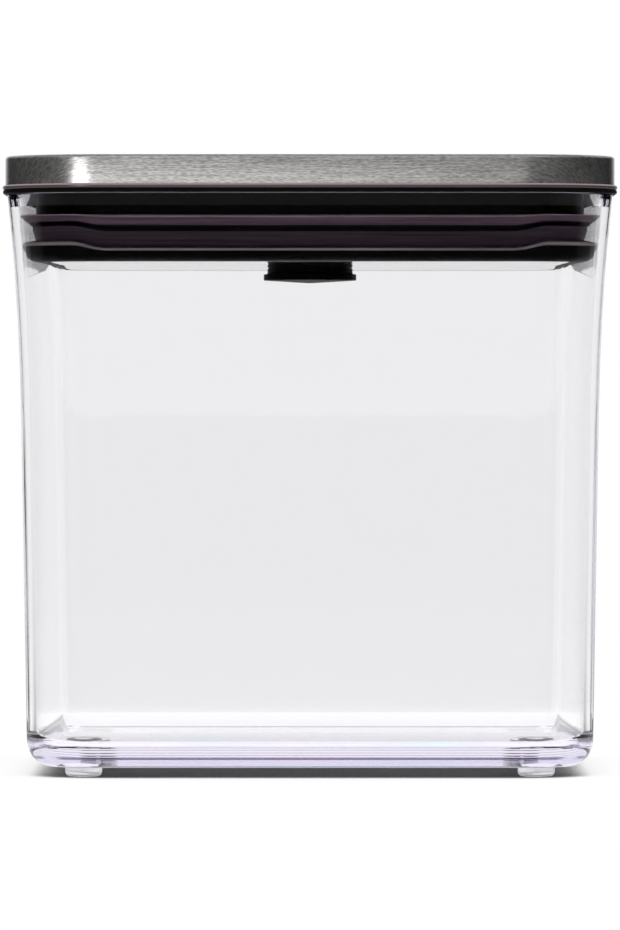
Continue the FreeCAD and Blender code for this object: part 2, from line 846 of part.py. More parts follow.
def make_button_plunger():
    """Plunger: a waisted cup under the cap and a keyed stem that carries the seal plate."""
    body = new_body("button_plunger")
    bore = "clamp_radius + clamp_gap"
    foot = "plug_bottom + spigot_fit"
    waist = "(cup_bottom + waist_end + cup_grip_top) / 2"
    turned(
        body,
        "turn",
        [
            (bore, foot),
            ("spigot_radius", foot),
            ("spigot_radius", "plate_top"),
            ("stem_radius", "plate_top"),
            ("stem_radius", "plunger_under"),
            ("cup_bore", "plunger_under"),
            ("cup_bore", "cup_bottom"),
            ("cup_radius", "cup_bottom"),
            ("cup_radius", "cup_bottom + waist_end"),
            ("cup_radius - waist_depth", waist, "waist_round"),
            ("cup_radius", "cup_grip_top"),
            ("cup_radius", "plunger_top", "cap_round - cover_sheet"),
            ("stem_bore", "plunger_top"),
            ("stem_bore", "stem_floor_top"),
            (bore, "stem_floor_top"),
        ],
    )
    key_low = "plate_top + key_start"
    key_plan = box_sketch(
        body,
        "key_plan",
        "XY_Plane",
        key_low,
        "(stem_radius + stem_bore) / 2",
        "stem_radius + key_reach",
        "-key_wide / 2",
        "key_wide / 2",
    )
    key = padded(body, "key", key_plan, "key_length")
    repeated(body, "keys", [key], 2)
    side = "cam_wide / 2 + cam_fit"
    slot = box_sketch(
        body,
        "cam_slot_plan",
        "XZ_Plane",
        "cam_back - cam_fit",
        f"-({side})",
        side,
        "cam_bottom - cam_fit",
        "cam_top + cam_fit",
    )
    pocketed(body, "cam_slot", slot, "stem_radius", upward=True)
    return [body]


def make_heart_cam():
    """Latch track: a groove round a heart whose notch rests under the latch wire."""
    body = new_body("heart_cam")
    side = "cam_wide / 2"
    face = box_sketch(
        body, "plan", "XZ_Plane", "cam_back", f"-{side}", side, "cam_bottom", "cam_top"
    )
    padded(body, "block", face, "cam_thick")
    track = sketch_in(body, "track_plan", "XZ_Plane", "cam_face")
    lane = "track_wide / 2"
    foot = "latch_level - button_rise"
    crown = "latch_level + button_overtravel + track_wide / 2"
    outline(
        track,
        [
            (f"-{lane}", f"{foot} - {lane}"),
            (lane, f"{foot} - {lane}"),
            (lane, f"{foot} + {lane}"),
            ("track_half", f"{foot} + heart_foot + track_half"),
            ("track_half", "latch_level"),
            (lane, crown),
            (f"-{lane}", crown),
            ("-track_half", "latch_level"),
            ("-track_half", f"{foot} + heart_foot + track_half"),
            (f"-{lane}", f"{foot} + {lane}"),
        ],
    )
    notch = "latch_level - latch_wire_radius - heart_notch_gap"
    outline(
        track,
        [
            ("0", f"{foot} + heart_foot"),
            ("heart_half", f"{foot} + heart_foot + heart_shoulder"),
            ("heart_half", f"{notch} + heart_lobe"),
            ("0", notch),
            ("-heart_half", f"{notch} + heart_lobe"),
            ("-heart_half", f"{foot} + heart_foot + heart_shoulder"),
        ],
    )
    pocketed(body, "track", track, "track_depth", upward=False)
    return [body]


def make_seal_plate():
    """Seal plate: a ribbed tray whose rim spreads the gasket's lip."""
    body = new_body("seal_plate")
    inner = "plate_half - plate_rim_wall"
    stub = "plate_half - plate_rim_wall - plate_stub"
    rim = "plug_bottom + plate_rim_height"
    swept_ring(
        body,
        "edge",
        "plate_half",
        [
            (stub, "plug_bottom"),
            ("plate_half", "plug_bottom", "plate_round"),
            ("plate_half", rim),
            (inner, rim),
            (inner, "plate_top", "plate_round"),
            (stub, "plate_top"),
        ],
    )
    hole = "spigot_radius + spigot_fit"
    plate(body, "floor", "plug_bottom", "plate_thick", f"{stub} + join_overlap", hole)
    rib_plan = box_sketch(
        body,
        "rib_plan",
        "XY_Plane",
        "plug_bottom",
        "guide_radius + plate_rib_gap",
        f"{inner} + join_overlap",
        "-plate_rib_wide / 2",
        "plate_rib_wide / 2",
    )
    rib = padded(body, "rib", rib_plan, "plate_thick + plate_rib_height")
    repeated(body, "ribs", [rib], 4)
    return [body]


def make_dock():
    """Spool under the seal plate that accessories clip to, and the ring that seals it."""
    body = new_body("dock_plug")
    groove_top = "plug_bottom - dock_groove_drop"
    ring_floor = "plug_bottom - ring_wire_radius * 2 - seat_gap"
    pilot_end = "plug_bottom - clamp_bite - seat_gap"
    bore = "clamp_radius + clamp_gap"
    turned(
        body,
        "turn",
        [
            ("0", "dock_bottom - dock_dome"),
            ("dock_flange_radius", "dock_bottom", "dock_edge_round"),
            ("dock_flange_radius", "dock_flange_top", "dock_edge_round"),
            ("dock_neck_radius", "dock_flange_top", "dock_neck_round"),
            ("dock_neck_radius", f"{groove_top} - dock_groove_wide"),
            ("dock_neck_radius - dock_groove_depth", f"{groove_top} - dock_groove_wide"),
            ("dock_neck_radius - dock_groove_depth", groove_top),
            ("dock_neck_radius", groove_top),
            ("dock_neck_radius", "plug_bottom"),
            ("ring_mean_radius + ring_groove_half", "plug_bottom"),
            ("ring_mean_radius + ring_groove_half", ring_floor),
            ("ring_mean_radius - ring_groove_half", ring_floor),
            ("ring_mean_radius - ring_groove_half", "plug_bottom"),
            (bore, "plug_bottom"),
            (bore, pilot_end),
            ("0", pilot_end),
        ],
    )
    ring = doc.addObject("Part::Torus", "dock_o_ring")
    ring.Label = "dock_o_ring"
    ring.setExpression("Radius1", bound("ring_mean_radius"))
    ring.setExpression("Radius2", bound("ring_wire_radius"))
    ring.setExpression("Placement.Base.z", bound("plug_bottom - ring_wire_radius - seat_gap / 2"))
    return [body, ring]


def make_clamp_screw():
    """Screw down the stem's bore that clamps the plate between the stem and the dock."""
    body = new_body("clamp_screw")
    head_top = "stem_floor_top + clamp_head_height"
    turned(
        body,
        "turn",
        [
            ("0", "plug_bottom - clamp_bite"),
            ("clamp_radius", "plug_bottom - clamp_bite"),
            ("clamp_radius", "stem_floor_top"),
            ("clamp_head_radius", "stem_floor_top"),
            ("clamp_head_radius", head_top),
            ("clamp_socket", head_top),
            ("clamp_socket", f"{head_top} - clamp_socket_depth"),
            ("0", f"{head_top} - clamp_socket_depth"),
        ],
    )
    return [body]


# Mechanism inside the lid


def make_guide_base():
    """Guide base: a disc under the well with the stem's guide tube, keyways and the latch block."""
    body = new_body("guide_base")
    post(body, "disc", "guide_under", "guide_thick", "guide_radius", bore="guide_bore")
    post(
        body,
        "tube",
        "guide_top - join_overlap",
        "guide_tube_height + join_overlap",
        "guide_tube_radius",
        bore="guide_bore",
    )
    block = box_sketch(
        body,
        "latch_block_plan",
        "XY_Plane",
        "guide_top - join_overlap",
        "-latch_block_wide / 2",
        "latch_block_wide / 2",
        "-latch_block_end",
        "-latch_block_start",
    )
    padded(body, "latch_block", block, "latch_height + latch_block_over + join_overlap")
    low = "guide_under - cut_overrun"
    reach = "guide_thick + guide_tube_height + cut_overrun * 2"
    half_key = "key_wide / 2 + key_clearance"
    key_plan = box_sketch(
        body,
        "keyway_plan",
        "XY_Plane",
        low,
        "stem_bore",
        "stem_radius + key_reach + key_clearance",
        f"-({half_key})",
        half_key,
    )
    keyway = pocketed(body, "keyway", key_plan, reach, upward=True)
    repeated(body, "keyways", [keyway], 2)
    bore = sketch_in(body, "latch_bore_plan", "XZ_Plane", "latch_block_start - cut_overrun")
    circle_in(bore, "latch_wire_radius + latch_bore_gap", "0", "latch_level")
    pocketed(
        body,
        "latch_bore",
        bore,
        "latch_block_end - latch_block_start + cut_overrun * 2",
        upward=True,
    )
    corner = "guide_screw_radius * sqrt(0.5)"
    hole = drilled(
        body, "screw_hole", low, "guide_thick + cut_overrun * 2", "screw_hole", corner, corner
    )
    repeated(body, "screw_holes", [hole], 4)
    sink = drilled(
        body,
        "screw_sink",
        low,
        "screw_head_height + screw_head_gap + cut_overrun",
        "screw_head_radius + screw_head_gap",
        corner,
        corner,
    )
    repeated(body, "screw_sinks", [sink], 4)
    return [body]


def make_return_spring():
    """Compression spring round the guide tube that lifts the plunger, shown latched down."""
    body = new_body("return_spring")
    wire = sketch_in(body, "wire", "XZ_Plane")
    start = "guide_top + spring_wire_radius + spring_end_gap"
    rise = "plunger_under - guide_top - spring_wire_radius * 2 - spring_end_gap * 2"
    circle_in(wire, "spring_wire_radius", "spring_radius", start)
    doc.recompute()
    coil = body.newObject("PartDesign::AdditiveHelix", "return_spring_coil")
    coil.Profile = wire
    coil.ReferenceAxis = (wire, ["V_Axis"])
    coil.Mode = "height-turns-angle"
    coil.setExpression("Height", bound(rise))
    coil.setExpression("Turns", bound("spring_turns"))
    finish_feature(body, coil, wire)
    pitch = value(rise) / value("spring_turns")
    print(f"return_spring: gap between turns {pitch - 2 * value('spring_wire_radius'):.2f} mm")
    return [body]


def make_latch_wire():
    """Springy latch wire: it is held in the latch block and its tip rests in the heart's notch."""
    body = new_body("latch_wire")
    tip = "track_floor + latch_tip_gap"
    outer = "latch_block_end + latch_end_gap + latch_bend"
    path = sketch_in(body, "path", "YZ_Plane")
    route = [
        (f"-({tip})", "latch_level"),
        (f"-({outer})", "latch_level"),
        (f"-({outer})", "latch_level - latch_tail"),
    ]
    open_route(path, route, "latch_bend")
    end = sketch_in(body, "end", "XZ_Plane", tip)
    circle_in(end, "latch_wire_radius", "0", "latch_level")
    doc.recompute()
    wire = body.newObject("PartDesign::AdditivePipe", "latch_wire_sweep")
    wire.Spine = (path, [])
    finish_feature(body, wire, end)
    return [body]


def open_route(sketch, route, bend):
    """Draws two straight runs joined by a tangent bend."""
    first, corner, last = (V(value(point[0]), value(point[1]), 0) for point in route)
    reach = value(bend)
    into = corner + (first - corner).normalize() * reach
    away = corner + (last - corner).normalize() * reach
    run = sketch.addGeometry(Part.LineSegment(first, into), False)
    drop = sketch.addGeometry(Part.LineSegment(away, last), False)
    round_corner(sketch, corner, into, away, (run, 2), (drop, 1), (*route[1], bend))
    pin_point(sketch, run, 1, *route[0])
    pin_point(sketch, drop, 2, *route[2])


def screw_set(name, seat, across, up):
    """Four screws that enter upward at a seat: head below it, shank above it, and a driver slot."""
    body = new_body(name)
    head = post(
        body, "head", f"{seat} - screw_head_height", "screw_head_height", "screw_head_radius", across, up
    )
    shank = post(
        body,
        "shank",
        f"{seat} - join_overlap",
        f"{SHANKS[name]} + screw_bite + join_overlap",
        "screw_radius",
        across,
        up,
    )
    slot_plan = box_sketch(
        body,
        "slot_plan",
        "XY_Plane",
        f"{seat} - screw_head_height - cut_overrun",
        f"{across} - screw_head_radius - cut_overrun",
        f"{across} + screw_head_radius + cut_overrun",
        f"{up} - screw_slot / 2",
        f"{up} + screw_slot / 2",
    )
    slot = pocketed(body, "slot", slot_plan, "screw_slot_depth + cut_overrun", upward=True)
    repeated(body, "set", [head, shank, slot], 4)
    return [body]


SHANKS = {
    "frame_screws": "ledge_thick",
    "guide_screws": "guide_thick - screw_head_height",
}


def make_screws():
    """The screws of the neck frame and of the guide base."""
    corner = "guide_screw_radius * sqrt(0.5)"
    return [
        *screw_set("frame_screws", "ledge_under", "frame_screw_place", "0"),
        *screw_set("guide_screws", "guide_under + screw_head_height", corner, corner),
    ]


MAKERS = (
    make_tub,
    make_feet,
    make_steel_cover,
    make_top_frame,
    make_neck_frame,
    make_gasket,
    make_button_cap,
    make_button_plunger,
    make_heart_cam,
    make_seal_plate,
    make_dock,
    make_clamp_screw,
    make_guide_base,
    make_return_spring,
    make_latch_wire,
    make_screws,
)


def check(pieces):
    """Stops if any object of the document failed, or a piece has no valid solid."""
    failed = [item.Name for item in doc.Objects if {"Invalid", "Error"} & set(item.State)]
    if failed:
        raise RuntimeError(f"these failed: {failed}")
    for piece in pieces:
        if piece.Shape.isNull() or not piece.Shape.isValid() or not piece.Shape.Solids:
            raise RuntimeError(f"{piece.Label} has no valid solid")


def main():
    """Builds every piece and writes each to its own file."""
    fill_sizes()
    pieces = [piece for maker in MAKERS for piece in maker()]
    doc.recompute()
    check(pieces)
    os.makedirs("parts", exist_ok=True)
    for piece in pieces:
        piece.Shape.exportStep(f"parts/{piece.Label}.step")
        box = piece.Shape.optimalBoundingBox()
        print(
            f"{piece.Label}: {len(piece.Shape.Solids)} solid, {piece.Shape.Volume:.0f} mm3, "
            f"z {box.ZMin:.2f} to {box.ZMax:.2f}, x {box.XMin:.2f} to {box.XMax:.2f}"
        )


main()
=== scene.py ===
"""Looks of a square push-button food keeper: a clear flared tub on soft feet and a brushed steel lid.

Lengths are in metres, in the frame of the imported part: +Z up, the front towards -Y.
"""

import math

import bmesh
import bpy
from mathutils import Matrix, Vector


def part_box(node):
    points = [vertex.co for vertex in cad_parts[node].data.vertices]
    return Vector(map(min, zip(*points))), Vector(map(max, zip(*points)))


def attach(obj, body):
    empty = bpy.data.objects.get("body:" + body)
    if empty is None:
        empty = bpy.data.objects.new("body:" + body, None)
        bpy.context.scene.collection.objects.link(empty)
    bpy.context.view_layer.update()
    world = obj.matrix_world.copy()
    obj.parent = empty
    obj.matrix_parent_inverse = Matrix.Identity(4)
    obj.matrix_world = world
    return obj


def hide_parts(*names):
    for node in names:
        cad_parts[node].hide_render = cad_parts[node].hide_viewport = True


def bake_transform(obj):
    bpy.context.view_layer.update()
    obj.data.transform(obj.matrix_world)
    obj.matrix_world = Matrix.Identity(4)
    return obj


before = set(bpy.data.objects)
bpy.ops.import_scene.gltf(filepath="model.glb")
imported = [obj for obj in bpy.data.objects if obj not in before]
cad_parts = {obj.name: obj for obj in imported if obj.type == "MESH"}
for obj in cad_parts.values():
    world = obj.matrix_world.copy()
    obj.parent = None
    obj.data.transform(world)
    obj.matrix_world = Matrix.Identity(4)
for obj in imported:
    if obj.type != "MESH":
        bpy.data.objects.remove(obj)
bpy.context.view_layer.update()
MM = 0.001

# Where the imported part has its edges

TUB_LOW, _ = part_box("tub")
COVER_LOW, COVER_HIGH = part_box("steel_cover")
GASKET_LOW, GASKET_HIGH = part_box("gasket")
SPRING_LOW, SPRING_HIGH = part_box("return_spring")
CORNER_CENTRE = 55.3 * MM
RIM_TOP = 153.5 * MM
TUB_FOOT_HALF = 72 * MM


# Shader trees


class Value:
    """A number from a shader socket: plain maths on it adds Math nodes."""

    def __init__(self, finish, socket):
        self.finish = finish
        self.socket = socket

    def maths(self, operation, *others):
        """A Math node of this value and the others, in order."""
        inputs = dict(enumerate((self, *others)))
        return self.finish.node("Math", {"operation": operation}, inputs)

    def flipped(self, operation, other):
        """A Math node with the other number first."""
        return self.finish.node("Math", {"operation": operation}, {0: other, 1: self})

    def __add__(self, other):
        return self.maths("ADD", other)

    def __sub__(self, other):
        return self.maths("SUBTRACT", other)

    def __mul__(self, other):
        return self.maths("MULTIPLY", other)

    def __truediv__(self, other):
        return self.maths("DIVIDE", other)

    def __rsub__(self, other):
        return self.flipped("SUBTRACT", other)

    def __rtruediv__(self, other):
        return self.flipped("DIVIDE", other)

    __radd__ = __add__
    __rmul__ = __mul__

    def step(self, low, high):
        """0 below low, 1 above high, and a smooth rise between them."""
        sockets = {"Value": self, "From Min": low, "From Max": high}
        return self.finish.node("MapRange", {"interpolation_type": "SMOOTHSTEP"}, sockets)


class Finish:
    """A node tree with its shader, and one way to add any node to it."""

    def __init__(self, name, holder=None):
        self.holder = holder or bpy.data.materials.new(name)
        self.holder.use_nodes = True
        self.tree = self.holder.node_tree
        self.shader = self.tree.nodes.get("Principled BSDF")

    def node(self, kind, settings=None, sockets=None, output=0):
        """Adds a node, sets it up, feeds its sockets and gives one of its outputs."""
        made = self.tree.nodes.new(f"ShaderNode{kind}")
        for name, setting in (settings or {}).items():
            if name == "stops":
                self.set_stops(made.color_ramp, setting)
            else:
                setattr(made, name, setting)
        for name, fed in (sockets or {}).items():
            self.feed(made.inputs[name], fed)
        return Value(self, made.outputs[output])

    def feed(self, socket, fed):
        """Links a value to a socket, or sets the socket to a number or a colour."""
        if isinstance(fed, Value):
            self.tree.links.new(fed.socket, socket)
        elif isinstance(fed, tuple) and socket.type == "RGBA":
            socket.default_value = (*fed, 1.0)
        else:
            socket.default_value = fed

    def set_stops(self, ramp, stops):
        """Gives a colour ramp its stops, as (place, colour)."""
        while len(ramp.elements) < len(stops):
            ramp.elements.new(1.0)
        for element, (place, colour) in zip(ramp.elements, stops):
            element.position = place
            element.color = (*colour, 1.0)

    def set(self, **sockets):
        """Feeds the shader's sockets, named with underscores for spaces."""
        for name, fed in sockets.items():
            self.feed(self.shader.inputs[name.replace("_", " ")], fed)

    def place(self):
        """Object coordinates."""
        return self.node("TexCoord", output="Object")

    def split(self, vector):
        """The three numbers of a vector."""
        parts = self.node("SeparateXYZ", sockets={0: vector})
        return [Value(self, socket) for socket in parts.socket.node.outputs]

    def axes(self):
        """Object coordinates as three numbers."""
        return self.split(self.place())

    def scaled(self, across, along, up):
        """Object coordinates stretched by three factors."""
        return self.node("Mapping", sockets={"Vector": self.place(), "Scale": (across, along, up)})

    def noise(self, vector, scale, detail=2.0, roughness=0.5):
        """Noise from 0 to 1."""
        sockets = {"Vector": vector, "Scale": scale, "Detail": detail, "Roughness": roughness}
        return self.node("TexNoise", sockets=sockets)

    def mixed(self, share, first, second):
        """A colour between two colours; a Mix node has its colours on sockets 6 and 7."""
        return self.node("Mix", {"data_type": "RGBA"}, {0: share, 6: first, 7: second}, output=2)

    def bump(self, height, distance):
        """Raises the surface in the shading by a height from 0 to 1 times a distance."""
        sockets = {"Height": height, "Distance": distance, "Strength": 1.0}
        self.set(Normal=self.node("Bump", sockets=sockets))


# Finishes

BASE_FADE = (TUB_LOW.z + 2 * MM, TUB_LOW.z + 4 * MM)
OUTSIDE_FADE = (68 * MM, 70 * MM)
# Heights of a painted dark line of shade round the outside of the base
RECESS_SHADE_START = (4.6 * MM, 4.8 * MM)
RECESS_SHADE_END = (5.3 * MM, 5.5 * MM)
# Heights of the painted highlight along the rim bead's top edge
RIM_HIGHLIGHT_FADE = (RIM_TOP - 0.5 * MM, RIM_TOP - 0.15 * MM)
LONG_GRAIN = (60, 2400)
FINE_GRAIN = (600, 3800)
LEAST_REACH = 0.1 * MM


def clear_plastic():
    """Glossy clear plastic with a faint violet body, streaked in the base, with a painted dark line of
    shade round the base at its recess edge.
    """
    finish = Finish("clear_plastic")
    x, y, z = finish.axes()
    base = 1 - z.step(*BASE_FADE)
    outside = x.maths("ABSOLUTE").maths("MAXIMUM", y.maths("ABSOLUTE")).step(*OUTSIDE_FADE)
    # Painted shade: a dark band round the outside of the base, at the height of the recess's edge
    painted_recess_shade = outside * z.step(*RECESS_SHADE_START) * (1 - z.step(*RECESS_SHADE_END))
    streaks = finish.noise(finish.scaled(25, 25, 800), 1.0, 3.0)
    hue = finish.node(
        "ValToRGB",
        {
            "stops": (
                (0.30, (0.55, 0.95, 1.0)),
                (0.42, (0.78, 0.76, 1.0)),
                (0.56, (0.90, 0.85, 1.0)),
                (0.70, (1.0, 0.82, 0.95)),
            )
        },
        {0: streaks},
    )
    smudge = finish.noise(finish.place(), 45.0, 4.0)
    tinted = finish.mixed(base * 0.9, (0.995, 0.992, 1.0), hue)
    finish.set(
        Base_Color=finish.mixed(painted_recess_shade, tinted, (0.09, 0.06, 0.12)),
        Roughness=smudge * 0.02,
        IOR=1.49,
        Specular_IOR_Level=0.15,
        Transmission_Weight=1.0,
    )
    finish.bump(finish.noise(finish.place(), 18.0, 1.0), 0.03 * MM)
    body = {"Color": (0.66, 0.56, 0.86), "Density": 2.5}
    output = finish.tree.nodes["Material Output"]
    finish.feed(output.inputs["Volume"], finish.node("VolumeAbsorption", sockets=body))
    return finish.holder


def clear_soft():
    """Soft clear rubber, a little cloudy."""
    finish = Finish("clear_soft")
    cloud = finish.noise(finish.place(), 900.0, 3.0)
    finish.set(
        Base_Color=finish.mixed(cloud, (0.93, 0.92, 0.96), (0.99, 0.98, 1.0)),
        Roughness=cloud * 0.15 + 0.15,
        IOR=1.41,
        Transmission_Weight=0.85,
    )
    finish.bump(cloud, 0.03 * MM)
    return finish.holder


def brushed_steel():
    """Steel brushed straight across as a flat sheet, then pressed, so the grain turns at the corners."""
    finish = Finish("brushed_steel")
    x, y, z = finish.axes()
    over = [(axis.maths("ABSOLUTE") - CORNER_CENTRE).maths("MAXIMUM", 0) for axis in (x, y)]
    reach = (over[0] * over[0] + over[1] * over[1]).maths("SQRT").maths("MAXIMUM", LEAST_REACH)
    fold = (COVER_HIGH.z - z) / reach
    sheet_x, sheet_y = (
        axis + axis.maths("SIGN") * part * fold for axis, part in zip((x, y), over)
    )
    long_grain, fine_grain = (
        finish.node("CombineXYZ", sockets={0: sheet_x * along, 1: sheet_y * across})
        for along, across in (LONG_GRAIN, FINE_GRAIN)
    )
    grain = finish.noise(long_grain, 1.0, 4.0, 0.6) * 0.4 + finish.noise(fine_grain, 1.0, 3.0) * 0.6
    finish.set(
        Base_Color=finish.mixed(grain.step(0.36, 0.64), (0.36, 0.35, 0.345), (0.80, 0.79, 0.78)),
        Metallic=1.0,
        Roughness=grain * 0.2 + 0.22,
        Anisotropic=0.6,
        Anisotropic_Rotation=0.25,
    )
    finish.bump(grain, 0.02 * MM)
    return finish.holder


def black_plastic():
    """Satin black plastic with a fine moulded texture."""
    finish = Finish("black_plastic")
    speckle = finish.noise(finish.place(), 2600.0, 2.0)
    cloud = finish.noise(finish.place(), 60.0, 3.0)
    finish.set(
        Base_Color=finish.mixed(cloud, (0.002, 0.0018, 0.002), (0.005, 0.0045, 0.005)),
        Roughness=speckle * 0.14 + 0.4,
        Specular_IOR_Level=0.03,
    )
    finish.bump(speckle, 0.006 * MM)
    return finish.holder


def brown_gloss():
    """Glossy dark plastic with a brown cast, of the rim's upper bead, with a painted highlight along its
    top edge.
    """
    finish = Finish("brown_gloss")
    smudge = finish.noise(finish.place(), 120.0, 3.0)
    # Painted highlight: a paler colour along the bead's top edge, where its rounding catches light
    painted_highlight = finish.axes()[2].step(*RIM_HIGHLIGHT_FADE)
    body = finish.mixed(smudge, (0.040, 0.026, 0.030), (0.060, 0.042, 0.046))
    finish.set(
        Base_Color=finish.mixed(painted_highlight, body, (0.36, 0.29, 0.30)),
        Roughness=smudge * 0.1 + 0.2,
    )
    finish.bump(smudge, 0.01 * MM)
    return finish.holder


def black_gloss():
    """Polished black plastic of the lid's underside."""
    finish = Finish("black_gloss")
    smudge = finish.noise(finish.place(), 70.0, 4.0)
    finish.set(
        Base_Color=finish.mixed(smudge, (0.006, 0.005, 0.006), (0.011, 0.010, 0.011)),
        Roughness=smudge * 0.08 + 0.02,
    )
    finish.bump(finish.noise(finish.place(), 30.0, 2.0), 0.01 * MM)
    return finish.holder


def grey_plastic():
    """Slippery pale grey plastic of the latch track."""
    finish = Finish("grey_plastic")
    speckle = finish.noise(finish.place(), 1800.0, 3.0)
    finish.set(
        Base_Color=finish.mixed(speckle, (0.32, 0.32, 0.33), (0.42, 0.42, 0.43)),
        Roughness=speckle * 0.2 + 0.35,
    )
    finish.bump(speckle, 0.02 * MM)
    return finish.holder


def black_silicone():
    """Soft dark silicone with a purple cast, with painted light in bands up the gasket, the fin lighter
    than the waist, and painted highlights along its edges.
    """
    finish = Finish("black_silicone")
    bloom = finish.noise(finish.scaled(30, 30, 1400), 1.0, 4.0)
    pores = finish.noise(finish.place(), 3200.0, 2.0)
    rise = finish.node("Attribute", {"attribute_name": "rise"}, output="Fac")
    # Painted light: bands up the gasket by height, the fin lit, the waist dimmer, highlights painted on the
    # top edges of the fin and lip, and black between
    black = (0.005, 0.004, 0.005)
    waist_painted_light = (0.060, 0.042, 0.058)
    fin_painted_light = (0.16, 0.105, 0.15)
    painted_edge_highlight = (0.30, 0.26, 0.28)
    painted_light_bands = finish.node(
        "ValToRGB",
        {
            "stops": (
                (0.33, black),
                (0.355, painted_edge_highlight),
                (0.405, painted_edge_highlight),
                (0.43, waist_painted_light),
                (0.745, waist_painted_light),
                (0.765, black),
                (0.85, black),
                (0.865, fin_painted_light),
                (0.965, fin_painted_light),
                (0.985, painted_edge_highlight),
            )
        },
        {0: rise},
    )
    finish.set(
        Base_Color=finish.mixed(bloom.step(0.2, 0.8) * 0.5, painted_light_bands, black),
        Roughness=pores * 0.14 + 0.4,
        Specular_IOR_Level=0.03,
    )
    finish.bump(pores, 0.012 * MM)
    return finish.holder


def spring_steel():
    """Drawn spring wire with fine lines along it."""
    finish = Finish("spring_steel")
    lines = finish.noise(finish.scaled(300, 300, 6000), 1.0, 3.0)
    finish.set(
        Base_Color=finish.mixed(lines, (0.36, 0.36, 0.37), (0.62, 0.62, 0.63)),
        Metallic=1.0,
        Roughness=lines * 0.15 + 0.2,
    )
    finish.bump(lines, 0.01 * MM)
    return finish.holder


def screw_steel():
    """Zinc-bright screws, a little dulled."""
    finish = Finish("screw_steel")
    cloud = finish.noise(finish.place(), 900.0, 4.0)
    finish.set(
        Base_Color=finish.mixed(cloud, (0.50, 0.50, 0.49), (0.72, 0.71, 0.69)),
        Metallic=1.0,
        Roughness=cloud * 0.2 + 0.25,
    )
    finish.bump(cloud, 0.02 * MM)
    return finish.holder


FINISHES = {
    maker.__name__: maker()
    for maker in (
        clear_plastic,
        clear_soft,
        brushed_steel,
        black_plastic,
        brown_gloss,
        black_gloss,
        grey_plastic,
        black_silicone,
        spring_steel,
        screw_steel,
    )
}
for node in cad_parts.values():
    for held in node.material_slots:
        held.material = FINISHES[held.material.name]
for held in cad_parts["top_frame"].material_slots:
    held.material = FINISHES["brown_gloss"]


# New pieces

MERGE_DISTANCE = 0.002 * MM
SHARP_ANGLE = math.radians(40)
ROUNDING_SEGMENTS = 6
STRAIGHT_STEPS = 44


def new_piece(name, mesh_maker, slot):
    """Links an object of the mesh that a maker shapes, smooth but for its sharp edges."""
    shape = bmesh.new()
    mesh_maker(shape)
    bmesh.ops.remove_doubles(shape, verts=shape.verts, dist=MERGE_DISTANCE)
    bmesh.ops.recalc_face_normals(shape, faces=shape.faces)
    for face in shape.faces:
        face.smooth = True
    for painted_highlight in shape.edges:
        painted_highlight.smooth = painted_highlight.calc_face_angle(math.pi) < SHARP_ANGLE
    mesh = bpy.data.meshes.new(name)
    shape.to_mesh(mesh)
    shape.free()
    mesh.materials.append(FINISHES[slot])
    piece = bpy.data.objects.new(name, mesh)
    bpy.context.scene.collection.objects.link(piece)
    return piece


def outline(shape, corners, along):
    """The edges of a closed section, as (distance out, height, rounding reach), in the plane y = along."""
    earlier = set(shape.faces)
    side = [shape.verts.new((out, along, height)) for out, height, _ in corners]
    shape.faces.new(side)
    for vert, (_, _, reach) in zip(side, corners):
        if reach:
            bmesh.ops.bevel(
                shape,
                geom=[vert],
                offset=reach,
                affect="VERTICES",
                segments=ROUNDING_SEGMENTS,
                profile=0.5,
                material=-1,
            )
    section = next(face for face in shape.faces if face not in earlier)
    edges = list(section.edges)
    bmesh.ops.delete(shape, geom=[section], context="FACES_ONLY")
    return edges + list({vert for painted_highlight in edges for vert in painted_highlight.verts})


def swept_square(shape, corners, corner_steps):
    """Sweeps a closed section round the lid's rounded square."""
    moving = outline(shape, corners, -CORNER_CENTRE)
    for quarter in range(4):
        turn = Matrix.Rotation(quarter * math.pi / 2, 3, "Z")
        along = turn @ Vector((0, 2 * CORNER_CENTRE / STRAIGHT_STEPS, 0))
        centre = turn @ Vector((CORNER_CENTRE, CORNER_CENTRE, 0))
        for steps, angle, step in ((STRAIGHT_STEPS, 0, along), (corner_steps, math.pi / 2, Vector())):
            swept = bmesh.ops.spin(
                shape,
                geom=moving,
                cent=centre,
                axis=(0, 0, 1),
                dvec=step,
                angle=angle,
                steps=steps,
                use_merge=False,
                use_duplicate=False,
            )
            moving = swept["geom_last"]


# Steel lid

LID_SHEET = 0.6 * MM
LID_ROUND = 0.9 * MM
LID_EDGE = 0.12 * MM
HOLE_RADIUS = 27.5 * MM
HOLE_BEND = 0.9 * MM
HOLE_FLANGE = 2.4 * MM
PLATE_SQUARE = 56.5 * MM
PLATE_ROUND = 40 * MM
END_MARGIN = 0.01 * MM
LID_CORNER_STEPS = 28


